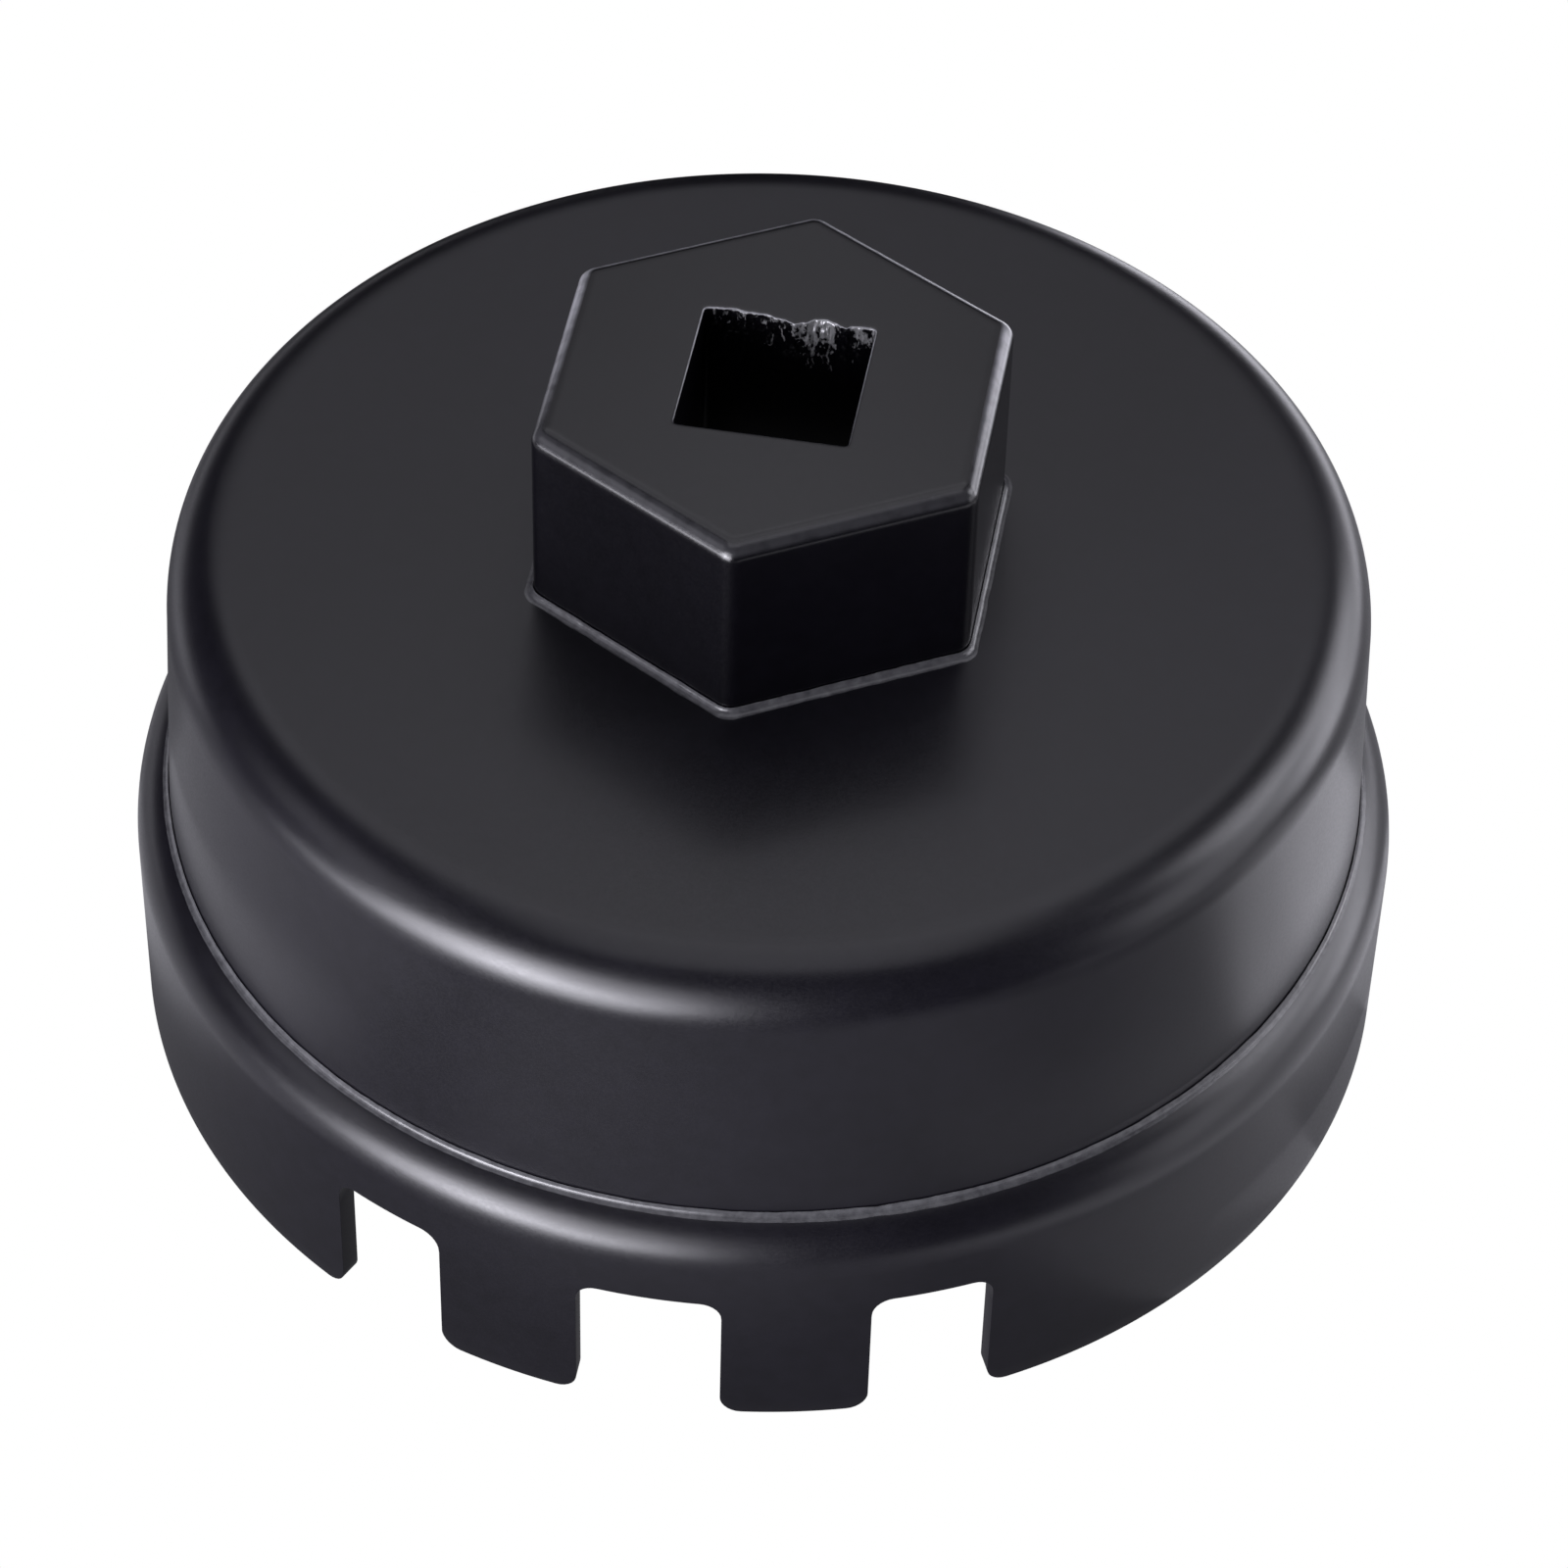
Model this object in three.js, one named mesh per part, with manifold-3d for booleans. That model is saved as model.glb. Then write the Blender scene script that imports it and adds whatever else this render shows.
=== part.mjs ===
// Oil filter wrench: a cap wrench for a cartridge filter housing.
//
// A thick-walled drum with fourteen flats inside carries a pressed skirt collar
// with drive notches. A hexagonal boss with a square through hole is let into the
// crown on a round spigot, backed by a washer and brazed on both sides.
//
// Millimetres, +Z up through the hexagon, z = 0 at the rim. Every dimension that
// drives the part is a constant below; pieces follow in the order they are built.
import * as THREE from "three";
import { mergeVertices } from "three/addons/utils/BufferGeometryUtils.js";
import Module from "manifold-3d";

// Round sections
const ROUND_STEPS = 84;
const SMALL_ROUND_STEPS = 48;
const ARC_STEPS = 6;

// Drum: the outside tapers from the crease to the crown
const DRUM_FOOT_Z = 10.5;
const DRUM_FOOT_RADIUS = 34.5;
const DRUM_TOP_RADIUS = 33.85;
const CROWN_Z = 32.2;
const CROWN_CORNER_RADIUS = 3.75;
const CROWN_THICKNESS = 2.2;
const DRUM_EDGE_CHAMFER = 0.4;

// Flutes: the flats inside the drum that grip the filter housing
const FLUTE_COUNT = 14;
const FLUTE_ACROSS_FLATS = 64.5;
const FLUTE_CORNER_RADIUS = 1.6;
const FLUTE_TOP_Z = 26.4;
const FLUTE_LEAD_IN = 1.0;
const CROWN_POCKET_RADIUS = 29.4;

// Skirt collar: sheet, bent inwards at the top until it meets the drum
const SKIRT_RADIUS = 36.5;
const SKIRT_WALL = 1.3;
const SKIRT_BEND_RADIUS = 3.5;
const SKIRT_BEND_Z = 11.6;
const SKIRT_EDGE_RADIUS = 0.3;
const LAP_GAP = 0.05;

// Notches: equal groups round the rim, the middle notch of each group wider
const NOTCH_GROUPS = 3;
const NOTCH_PITCH_DEG = 24.75;
const FIRST_GROUP_DEG = -90;
const NOTCH_WIDTHS = [6.9, 8.1, 6.9];
const NOTCH_TOP_Z = 9.3;
const NOTCH_CORNER_RADIUS = 1.2;
const TOOTH_CORNER_RADIUS = 1.2;

// Hexagonal boss with the square drive hole
const HEX_ACROSS_FLATS = 24.4;
const HEX_TOP_Z = 44.4;
const HEX_EDGE_RADIUS = 1.15;
const HEX_TOP_ROUND = 1.0;
const DRIVE_SQUARE = 9.55;
const DRIVE_CORNER_RADIUS = 0.3;

// Spigot, washer and brazed joints
const SPIGOT_RADIUS = 9.0;
const SPIGOT_CLEARANCE = 0.05;
const SPIGOT_END_Z = 26.8;
const WASHER_RADIUS = 13.5;
const WASHER_THICKNESS = 2.0;
const WASHER_CHAMFER = 0.4;
const FOOT_BRAZE_LEG = 0.45;
const HEX_FOOT_CHAMFER = 0.25;
const SPIGOT_BRAZE_LEG = 1.1;
const LAP_BRAZE_LEG = 1.7;
const CREASE_BRAZE_LEG = 0.35;
const BRAZE_GAP = 0.02;

const WASHER_TOP_Z = CROWN_Z - CROWN_THICKNESS;
const WASHER_FOOT_Z = WASHER_TOP_Z - WASHER_THICKNESS;

const wasm = await Module();
wasm.setup();

/** Turns a three.js geometry into a manifold solid. */
function solid(geometry) {
  const bare = geometry.index ? geometry.toNonIndexed() : geometry;
  bare.deleteAttribute("normal");
  bare.deleteAttribute("uv");
  const merged = mergeVertices(bare, 1e-5);
  const mesh = new wasm.Mesh({
    numProp: 3,
    vertProperties: new Float32Array(merged.attributes.position.array),
    triVerts: new Uint32Array(merged.index.array),
  });
  return new wasm.Manifold(mesh);
}

/** Turns a manifold solid back into a three.js geometry with flat shading. */
function geometryOf(body) {
  const mesh = body.getMesh();
  const geometry = new THREE.BufferGeometry();
  geometry.setAttribute("position", new THREE.BufferAttribute(mesh.vertProperties, 3));
  geometry.setIndex(new THREE.BufferAttribute(mesh.triVerts, 1));
  geometry.computeVertexNormals();
  return geometry;
}

/** Points along an arc in the section plane, as [radius, z] pairs. */
function arc(centreR, centreZ, radius, fromDeg, toDeg, steps = ARC_STEPS) {
  const points = [];
  for (let i = 0; i <= steps; i += 1) {
    const angle = THREE.MathUtils.degToRad(fromDeg + ((toDeg - fromDeg) * i) / steps);
    points.push([centreR + radius * Math.cos(angle), centreZ + radius * Math.sin(angle)]);
  }
  return points;
}

/** The angle at which an arc of this radius stands this far out from its centre. */
function arcAngleDeg(reach, radius) {
  return THREE.MathUtils.radToDeg(Math.acos(reach / radius));
}

/** Revolves a section of [radius, z] pairs about the Z axis. */
function revolve(section, steps = ROUND_STEPS) {
  const points = section.map(([radius, z]) => new THREE.Vector2(radius, z));
  const geometry = new THREE.LatheGeometry(points, steps);
  geometry.rotateX(Math.PI / 2);
  return orientOutwards(solid(geometry));
}

/** Revolves a closed section, which leaves a ring. */
function revolveRing(section, steps = ROUND_STEPS) {
  return revolve([...section, section[0]], steps);
}

/** Gives back the solid with a positive volume, whichever way it was wound. */
function orientOutwards(body) {
  if (body.volume() > 0) {
    return body;
  }
  const mesh = body.getMesh();
  const flipped = Uint32Array.from(mesh.triVerts);
  for (let i = 0; i < flipped.length; i += 3) {
    const first = flipped[i];
    flipped[i] = flipped[i + 1];
    flipped[i + 1] = first;
  }
  return new wasm.Manifold(
    new wasm.Mesh({ numProp: 3, vertProperties: mesh.vertProperties, triVerts: flipped }),
  );
}

/** A disc or short cylinder between two heights. */
function cylinder(radius, z0, z1) {
  return revolve([[0, z0], [radius, z0], [radius, z1], [0, z1]], SMALL_ROUND_STEPS);
}

/** A regular polygon with rounded corners and one flat facing +X. */
function roundedPolygon(sides, acrossFlats, cornerRadius) {
  const inset = acrossFlats / 2 - cornerRadius;
  const centreRadius = inset / Math.cos(Math.PI / sides);
  const half = Math.PI / sides;
  const shape = new THREE.Shape();
  for (let i = 0; i < sides; i += 1) {
    const angle = (i + 0.5) * 2 * half;
    const x = centreRadius * Math.cos(angle);
    const y = centreRadius * Math.sin(angle);
    shape.absarc(x, y, cornerRadius, angle - half, angle + half, false);
  }
  shape.closePath();
  return shape;
}

/** Extrudes a shape between two heights. */
function prism(shape, z0, z1, curveSegments = 4) {
  const geometry = new THREE.ExtrudeGeometry(shape, {
    depth: z1 - z0,
    bevelEnabled: false,
    curveSegments,
  });
  geometry.translate(0, 0, z0);
  return solid(geometry);
}

/** Drum: crown, tapered wall and the fourteen flats. */
function buildDrum() {
  const cornerCentreR = DRUM_TOP_RADIUS - CROWN_CORNER_RADIUS;
  const cornerCentreZ = CROWN_Z - CROWN_CORNER_RADIUS;
  let drum = revolve([
    [0, DRUM_FOOT_Z],
    [DRUM_FOOT_RADIUS - DRUM_EDGE_CHAMFER, DRUM_FOOT_Z],
    [DRUM_FOOT_RADIUS, DRUM_FOOT_Z + DRUM_EDGE_CHAMFER],
    [DRUM_FOOT_RADIUS, SKIRT_BEND_Z + SKIRT_BEND_RADIUS - 0.3],
    ...arc(cornerCentreR, cornerCentreZ, CROWN_CORNER_RADIUS, 0, 90, 9),
    [0, CROWN_Z],
  ]);
  const fluteReach = FLUTE_ACROSS_FLATS / 2 / Math.cos(Math.PI / FLUTE_COUNT);
  const flutes = roundedPolygon(FLUTE_COUNT, FLUTE_ACROSS_FLATS, FLUTE_CORNER_RADIUS);
  const turn = 360 / FLUTE_COUNT / 2;
  const pocket = prism(flutes, DRUM_FOOT_Z - 1, FLUTE_TOP_Z).rotate([0, 0, turn]);
  const relief = revolve([
    [0, FLUTE_TOP_Z - 1],
    [FLUTE_ACROSS_FLATS / 2 - 0.5, FLUTE_TOP_Z - 1],
    [FLUTE_ACROSS_FLATS / 2 - 0.5, FLUTE_TOP_Z],
    [CROWN_POCKET_RADIUS, WASHER_TOP_Z],
    [0, WASHER_TOP_Z],
  ]);
  const leadIn = revolve([
    [0, DRUM_FOOT_Z - 1],
    [fluteReach + 1, DRUM_FOOT_Z - 1],
    [fluteReach, DRUM_FOOT_Z],
    [fluteReach - FLUTE_LEAD_IN, DRUM_FOOT_Z + FLUTE_LEAD_IN],
    [0, DRUM_FOOT_Z + FLUTE_LEAD_IN],
  ]);
  const spigotHole = cylinder(SPIGOT_RADIUS + SPIGOT_CLEARANCE, WASHER_TOP_Z - 1, CROWN_Z + 1);
  for (const cut of [pocket, relief, leadIn, spigotHole]) {
    drum = drum.subtract(cut);
  }
  return drum;
}

/** Outline of one notch, with its top corners and the tooth corners rounded. */
function notchShape(width) {
  const half = width / 2;
  const outer = half + TOOTH_CORNER_RADIUS;
  const inner = half - NOTCH_CORNER_RADIUS;
  const innerZ = NOTCH_TOP_Z - NOTCH_CORNER_RADIUS;
  const shape = new THREE.Shape();
  shape.moveTo(-outer, -1);
  shape.lineTo(outer, -1);
  shape.absarc(outer, TOOTH_CORNER_RADIUS, TOOTH_CORNER_RADIUS, -Math.PI / 2, -Math.PI, true);
  shape.absarc(inner, innerZ, NOTCH_CORNER_RADIUS, 0, Math.PI / 2, false);
  shape.absarc(-inner, innerZ, NOTCH_CORNER_RADIUS, Math.PI / 2, Math.PI, false);
  shape.absarc(-outer, TOOTH_CORNER_RADIUS, TOOTH_CORNER_RADIUS, 0, -Math.PI / 2, true);
  shape.closePath();
  return shape;
}

/** Skirt collar: a sheet ring with a bent-in top and notches round the rim. */
function buildSkirt() {
  const bendCentreR = SKIRT_RADIUS - SKIRT_BEND_RADIUS;
  const innerBend = SKIRT_BEND_RADIUS - SKIRT_WALL;
  const innerRadius = SKIRT_RADIUS - SKIRT_WALL;
  const lapRadius = DRUM_FOOT_RADIUS + LAP_GAP;
  const outerEnd = arcAngleDeg(lapRadius - bendCentreR, SKIRT_BEND_RADIUS);
  const innerEnd = arcAngleDeg(lapRadius - bendCentreR, innerBend);
  const edge = SKIRT_EDGE_RADIUS;
  let skirt = revolveRing([
    [innerRadius, 0],
    ...arc(SKIRT_RADIUS - edge, edge, edge, -90, 0, 3),
    ...arc(bendCentreR, SKIRT_BEND_Z, SKIRT_BEND_RADIUS, 0, outerEnd),
    ...arc(bendCentreR, SKIRT_BEND_Z, innerBend, innerEnd, 0, 4),
  ]);
  for (let group = 0; group < NOTCH_GROUPS; group += 1) {
    const groupDeg = FIRST_GROUP_DEG + (360 / NOTCH_GROUPS) * group;
    NOTCH_WIDTHS.forEach((width, index) => {
      const centreDeg = groupDeg + (index - 1) * NOTCH_PITCH_DEG;
      const cutter = prism(notchShape(width), innerRadius - 2, SKIRT_RADIUS + 2);
      skirt = skirt.subtract(cutter.rotate([90, 0, 90]).rotate([0, 0, centreDeg]));
    });
  }
  return skirt;
}

/** Small braze fillet in the crease, where the collar's top edge meets the drum. */
function buildCreaseBraze() {
  const bendCentreR = SKIRT_RADIUS - SKIRT_BEND_RADIUS;
  const reach = SKIRT_BEND_RADIUS + BRAZE_GAP;
  const inner = DRUM_FOOT_RADIUS + LAP_GAP - bendCentreR;
  const outer = inner + CREASE_BRAZE_LEG;
  const shoulder = arc(
    bendCentreR,
    SKIRT_BEND_Z,
    reach,
    arcAngleDeg(inner, reach),
    arcAngleDeg(outer, reach),
    2,
  );
  const [creaseR, creaseZ] = shoulder[0];
  const hollow = [creaseR + 0.3 * CREASE_BRAZE_LEG, creaseZ + 0.25 * CREASE_BRAZE_LEG];
  return revolveRing([...shoulder, hollow, [creaseR, creaseZ + CREASE_BRAZE_LEG]]);
}

/** Braze ring under the lap between the collar and the drum. */
function buildLapBraze() {
  const lapRadius = DRUM_FOOT_RADIUS + LAP_GAP;
  const bendCentreR = SKIRT_RADIUS - SKIRT_BEND_RADIUS;
  const innerBend = SKIRT_BEND_RADIUS - SKIRT_WALL - LAP_GAP;
  const startDeg = arcAngleDeg(lapRadius - bendCentreR, innerBend);
  const touch = arc(bendCentreR, SKIRT_BEND_Z, innerBend, startDeg, 0, 4);
  const foot = [lapRadius, touch[0][1] - LAP_BRAZE_LEG];
  return revolveRing([...touch, foot]);
}

/** Carries a section of [distance to a flat, z] pairs round a hexagon, mitred at its corners. */
function hexRing(section) {
  const mitred = section.map(([reach, z]) => [reach / Math.cos(Math.PI / 6), z]);
  return revolve(mitred, 6);
}

/** Hexagonal boss, its spigot and the square hole through both. */
function buildHex() {
  const topCorner = HEX_EDGE_RADIUS - HEX_TOP_ROUND;
  const shape = roundedPolygon(6, HEX_ACROSS_FLATS - 2 * HEX_TOP_ROUND, topCorner);
  const rounded = new THREE.ExtrudeGeometry(shape, {
    depth: HEX_TOP_Z - CROWN_Z,
    bevelEnabled: true,
    bevelThickness: HEX_TOP_ROUND,
    bevelSize: HEX_TOP_ROUND,
    bevelSegments: 5,
    curveSegments: 3,
  });
  rounded.translate(0, 0, CROWN_Z - HEX_TOP_ROUND);
  const height = HEX_TOP_Z - CROWN_Z + 1;
  const footReach = HEX_ACROSS_FLATS / 2 - HEX_FOOT_CHAMFER;
  const topReach = footReach + (height * HEX_FOOT_CHAMFER) / FOOT_BRAZE_LEG;
  const chamfered = hexRing([
    [0, CROWN_Z],
    [footReach, CROWN_Z],
    [topReach, CROWN_Z + height],
    [0, CROWN_Z + height],
  ]);
  const spigot = cylinder(SPIGOT_RADIUS, SPIGOT_END_Z, CROWN_Z + 1);
  const square = roundedPolygon(4, DRIVE_SQUARE, DRIVE_CORNER_RADIUS);
  const hole = prism(square, SPIGOT_END_Z - 1, HEX_TOP_Z + 1);
  return solid(rounded).intersect(chamfered).add(spigot).subtract(hole);
}

/** Braze fillet round the foot of the hexagon, filling its chamfer. */
function buildFootBraze() {
  const flat = HEX_ACROSS_FLATS / 2 + LAP_GAP;
  const leg = FOOT_BRAZE_LEG;
  const hollow = arc(flat + leg, CROWN_Z + leg, leg, -90, -180, 3);
  const foot = [flat - HEX_FOOT_CHAMFER, CROWN_Z];
  return hexRing([foot, ...hollow, foot]);
}

/** Washer under the crown, round the spigot. */
function buildWasher() {
  const bore = SPIGOT_RADIUS + SPIGOT_CLEARANCE;
  const section = [
    [bore, WASHER_FOOT_Z],
    [WASHER_RADIUS - WASHER_CHAMFER, WASHER_FOOT_Z],
    [WASHER_RADIUS, WASHER_FOOT_Z + WASHER_CHAMFER],
    [WASHER_RADIUS, WASHER_TOP_Z],
    [bore, WASHER_TOP_Z],
  ];
  return revolveRing(section, SMALL_ROUND_STEPS);
}

/** Braze fillet between the washer and the end of the spigot. */
function buildSpigotBraze() {
  const bore = SPIGOT_RADIUS + SPIGOT_CLEARANCE;
  const leg = SPIGOT_BRAZE_LEG;
  const hollow = arc(bore + leg, WASHER_FOOT_Z - leg, leg, 90, 180, 4);
  return revolveRing([[bore, WASHER_FOOT_Z], ...hollow], SMALL_ROUND_STEPS);
}

const wrench = new THREE.Group();
wrench.name = "oil_filter_wrench";

/** Adds one named piece with its own material. */
function addPiece(name, body, color, roughness, metalness) {
  const material = new THREE.MeshStandardMaterial({ color, roughness, metalness });
  const mesh = new THREE.Mesh(geometryOf(body), material);
  mesh.name = name;
  wrench.add(mesh);
}

addPiece("drum_shell", buildDrum(), 0x2c2b31, 0.45, 0.2);
addPiece("skirt_collar", buildSkirt(), 0x2a292f, 0.43, 0.2);
addPiece("crease_braze_ring", buildCreaseBraze(), 0x323138, 0.36, 0.2);
addPiece("lap_braze_ring", buildLapBraze(), 0x2e2d33, 0.4, 0.2);
addPiece("drive_hex", buildHex(), 0x2b2a30, 0.42, 0.2);
addPiece("hex_foot_braze", buildFootBraze(), 0x303036, 0.38, 0.2);
addPiece("backing_washer", buildWasher(), 0x29282e, 0.5, 0.2);
addPiece("spigot_braze_ring", buildSpigotBraze(), 0x2e2d33, 0.4, 0.2);

export default wrench;
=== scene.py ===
import math

import bmesh
import bpy
from bpy.props import (
    FloatProperty,
    FloatVectorProperty,
    IntProperty,
    PointerProperty,
)
from mathutils import Matrix, Vector, noise


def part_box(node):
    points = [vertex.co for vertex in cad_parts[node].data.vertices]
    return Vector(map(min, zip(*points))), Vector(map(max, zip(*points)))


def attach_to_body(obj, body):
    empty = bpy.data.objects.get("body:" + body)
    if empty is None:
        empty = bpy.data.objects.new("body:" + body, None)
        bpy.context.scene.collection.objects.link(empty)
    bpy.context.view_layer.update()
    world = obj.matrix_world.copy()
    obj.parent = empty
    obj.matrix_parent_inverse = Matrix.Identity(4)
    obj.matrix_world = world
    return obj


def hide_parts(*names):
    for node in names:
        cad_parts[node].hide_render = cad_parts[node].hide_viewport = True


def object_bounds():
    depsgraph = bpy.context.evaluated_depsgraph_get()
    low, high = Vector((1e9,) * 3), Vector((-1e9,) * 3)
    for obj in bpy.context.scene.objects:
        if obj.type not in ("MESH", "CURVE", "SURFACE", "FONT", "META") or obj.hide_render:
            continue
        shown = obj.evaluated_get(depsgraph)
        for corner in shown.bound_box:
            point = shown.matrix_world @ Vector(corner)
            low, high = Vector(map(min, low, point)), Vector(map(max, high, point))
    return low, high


bl_info = {
    "name": "Oil Filter Wrench",
    "version": (1, 0, 0),
    "blender": (4, 5, 0),
    "location": "3D View > Sidebar > Wrench",
    "description": "Builds a cap-type oil filter wrench round its packed frame",
    "category": "Object",
}

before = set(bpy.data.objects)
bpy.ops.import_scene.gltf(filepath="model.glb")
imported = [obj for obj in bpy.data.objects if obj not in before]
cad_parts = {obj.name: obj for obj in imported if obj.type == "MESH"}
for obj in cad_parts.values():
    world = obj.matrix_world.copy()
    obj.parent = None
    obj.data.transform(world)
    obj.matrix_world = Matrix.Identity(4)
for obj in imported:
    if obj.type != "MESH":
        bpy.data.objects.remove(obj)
CAD_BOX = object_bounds()
MM = 0.001

DRUM_LOW, DRUM_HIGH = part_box("drum_shell")
SKIRT_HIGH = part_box("skirt_collar")[1]
HEX_LOW, HEX_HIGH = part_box("drive_hex")
WASHER_LOW, WASHER_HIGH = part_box("backing_washer")
CREASE_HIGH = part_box("crease_braze_ring")[1]
BODY = "root"

# clearance between two fitted pieces, and the skirt's inner radius over the drum
FIT_GAP = 0.05 * MM
LAP_RADIUS = DRUM_HIGH.x + FIT_GAP


# ---------------------------------------------------------------- settings


def length(name, description, default):
    """A setting in metres."""
    return FloatProperty(name=name, description=description, default=default, unit="LENGTH")


class DrumSettings(bpy.types.PropertyGroup):
    """Sizes of the drum, its crown and the flats inside it."""

    foot_radius: length("Foot radius", "Outside radius at the crease", DRUM_HIGH.x)
    top_radius: length("Top radius", "Outside radius where the crown corner starts", 33.85 * MM)
    crown_corner: length("Crown corner", "Radius of the soft corner round the crown", 3.75 * MM)
    crown_thickness: length(
        "Crown thickness", "Metal between the crown and the pocket", DRUM_HIGH.z - WASHER_HIGH.z)
    flute_count: IntProperty(
        name="Flutes", description="Flats inside the drum", default=14, min=3)
    across_flutes: length("Across flutes", "Distance between two opposite flats", 64.5 * MM)
    flute_corner: length("Flute corner", "Radius between two flats", 1.6 * MM)
    flute_top: length("Flute top", "Height at which the flats end", 26.4 * MM)
    pocket_radius: length("Pocket radius", "Radius of the crown's underside", 29.4 * MM)


class SkirtSettings(bpy.types.PropertyGroup):
    """Sizes of the skirt collar and its notches."""

    radius: length("Radius", "Outside radius of the skirt", SKIRT_HIGH.x)
    wall: length("Wall", "Thickness of the sheet", 1.3 * MM)
    bend_radius: length("Bend radius", "Outside radius of the bent-in top", 3.5 * MM)
    bend_height: length("Bend height", "Height at which the bend starts", 11.6 * MM)
    groups: IntProperty(
        name="Notch groups", description="Groups of three notches round the rim",
        default=3, min=1)
    pitch: FloatProperty(
        name="Notch pitch", description="Angle between notches of one group",
        default=math.radians(24.75), subtype="ANGLE")
    middle_width: length("Middle notch width", "Width of a group's middle notch", 8.1 * MM)
    side_width: length("Side notch width", "Width of a group's outer notches", 6.9 * MM)
    notch_height: length("Notch height", "Height of every notch", 9.3 * MM)
    corner: length("Corner radius", "Radius of the notch and tooth corners", 1.2 * MM)
    edge: length("Edge break", "Width of the softened sheet edges", 0.16 * MM)


class HexSettings(bpy.types.PropertyGroup):
    """Sizes of the hexagonal boss, the drive hole, spigot and washer."""

    across_flats: length("Across flats", "Distance between two opposite flats", 2 * HEX_HIGH.x)
    corner: length("Corner radius", "Radius of the upright corners", 1.15 * MM)
    top_round: length("Top round", "Radius of the edge round the top face", 1.0 * MM)
    foot_chamfer: length("Foot chamfer", "Chamfer that the foot braze fills", 0.25 * MM)
    square: length("Drive square", "Width of the square drive hole", 9.55 * MM)
    square_corner: length("Square corner", "Corner radius of the drive hole", 0.25 * MM)
    lip: length("Lip", "Radius of the drive hole's upper edge", 0.14 * MM)
    tear_depth: length("Tear depth", "Depth of the dents in the torn far wall", 0.26 * MM)
    tear_reach: length("Tear reach", "How far down the drive hole the tearing goes", 5.0 * MM)
    spigot_radius: length("Spigot radius", "Radius of the spigot through the crown", 9.0 * MM)
    washer_radius: length("Washer radius", "Outside radius of the backing washer", WASHER_HIGH.x)
    burr_density: FloatProperty(
        name="Burr density", description="Torn crumbs per square metre of torn wall",
        default=3.0e6)
    burr_size: length("Burr size", "Radius of the largest torn crumb", 0.10 * MM)


class FinishSettings(bpy.types.PropertyGroup):
    """Colours and gloss of the coating and the bare metal."""

    coat_dark: FloatVectorProperty(
        name="Coating, dark", description="Darker tone of the satin black coating",
        default=(0.0030, 0.0027, 0.0045), subtype="COLOR", size=3)
    coat_light: FloatVectorProperty(
        name="Coating, light", description="Lighter tone of the satin black coating",
        default=(0.0055, 0.0050, 0.0080), subtype="COLOR", size=3)
    bare: FloatVectorProperty(
        name="Bare metal", description="Torn metal inside the drive hole",
        default=(0.42, 0.42, 0.43), subtype="COLOR", size=3)
    # Painted highlight: a lighter colour painted on the hexagon's rounded top edge, standing in for
    # the reflections along it.
    painted_edge_highlight: FloatVectorProperty(
        name="Painted edge highlight", description="Coating rubbed thin along the hexagon's upper edge",
        default=(0.28, 0.28, 0.30), subtype="COLOR", size=3)
    # Partly painted sheen: the braze colour is lighter than the coating, raised so that the beads
    # show a bright line like their highlight.
    bead: FloatVectorProperty(
        name="Bead", description="Thinly coated braze on the lightest spots of a bead",
        default=(0.085, 0.085, 0.09), subtype="COLOR", size=3)
    # Share of the painted edge highlight kept on the front edges, where the lamps give a real
    # highlight.
    painted_highlight_front: FloatProperty(
        name="Painted highlight at the front", description="Share of the edge wear on the front edges",
        default=0.08, min=0.0, max=1.0)
    roughness: FloatProperty(
        name="Roughness", description="Roughness of the coating",
        default=0.32, min=0.0, max=1.0)
    grain: length("Grain", "Width of the coating's finest grain", 0.16 * MM)


class StageSettings(bpy.types.PropertyGroup):
    """Camera and light."""

    azimuth: FloatProperty(
        name="Camera azimuth", description="How far round from -Y the camera stands",
        default=math.radians(8.6), subtype="ANGLE")
    elevation: FloatProperty(
        name="Camera elevation", description="How far above the horizon it stands",
        default=math.radians(46.24), subtype="ANGLE")
    roll: FloatProperty(
        name="Camera roll", description="Tilt of the camera about its own axis",
        default=math.radians(1.71), subtype="ANGLE")
    distance: length("Camera distance", "From the camera to the point it aims at", 0.33)
    lens: FloatProperty(
        name="Lens", description="Focal length on a 36 mm sensor, in mm", default=129.69)
    aim_side: length("Aim sideways", "How far the aim lies from the axis", 1.13 * MM)
    aim_height: length("Aim height", "How high the aim lies above the rim", 12.37 * MM)


SETTINGS = {
    "wrench_drum": DrumSettings,
    "wrench_skirt": SkirtSettings,
    "wrench_hex": HexSettings,
    "wrench_finish": FinishSettings,
    "wrench_stage": StageSettings,
}


# ---------------------------------------------------------------- materials


def add_node(tree, kind, inputs=None, **settings):
    """Adds a node and sets its properties and the values of its inputs."""
    node = tree.nodes.new(kind)
    for name, value in settings.items():
        setattr(node, name, value)
    for name, value in (inputs or {}).items():
        node.inputs[name].default_value = value
    return node


def new_material(name):
    """A material with only a Principled shader, and its tree and shader."""
    material = bpy.data.materials.new(name)
    material.use_nodes = True
    tree = material.node_tree
    tree.nodes.clear()
    out = add_node(tree, "ShaderNodeOutputMaterial")
    shader = add_node(tree, "ShaderNodeBsdfPrincipled")
    tree.links.new(shader.outputs["BSDF"], out.inputs["Surface"])
    return material, tree, shader


def noise_field(tree, place, size, detail=2.0, distortion=0.0):
    """Noise whose blobs are about this size in metres."""
    field = add_node(
        tree, "ShaderNodeTexNoise",
        {"Scale": 1.0 / size, "Detail": detail, "Distortion": distortion})
    tree.links.new(place, field.inputs["Vector"])
    return field.outputs["Fac"]


def remap(tree, value, low, high, to_low, to_high):
    """Maps one range of a value onto another, clamped."""
    node = add_node(
        tree, "ShaderNodeMapRange",
        {"From Min": low, "From Max": high, "To Min": to_low, "To Max": to_high})
    tree.links.new(value, node.inputs["Value"])
    return node.outputs["Result"]


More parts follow.
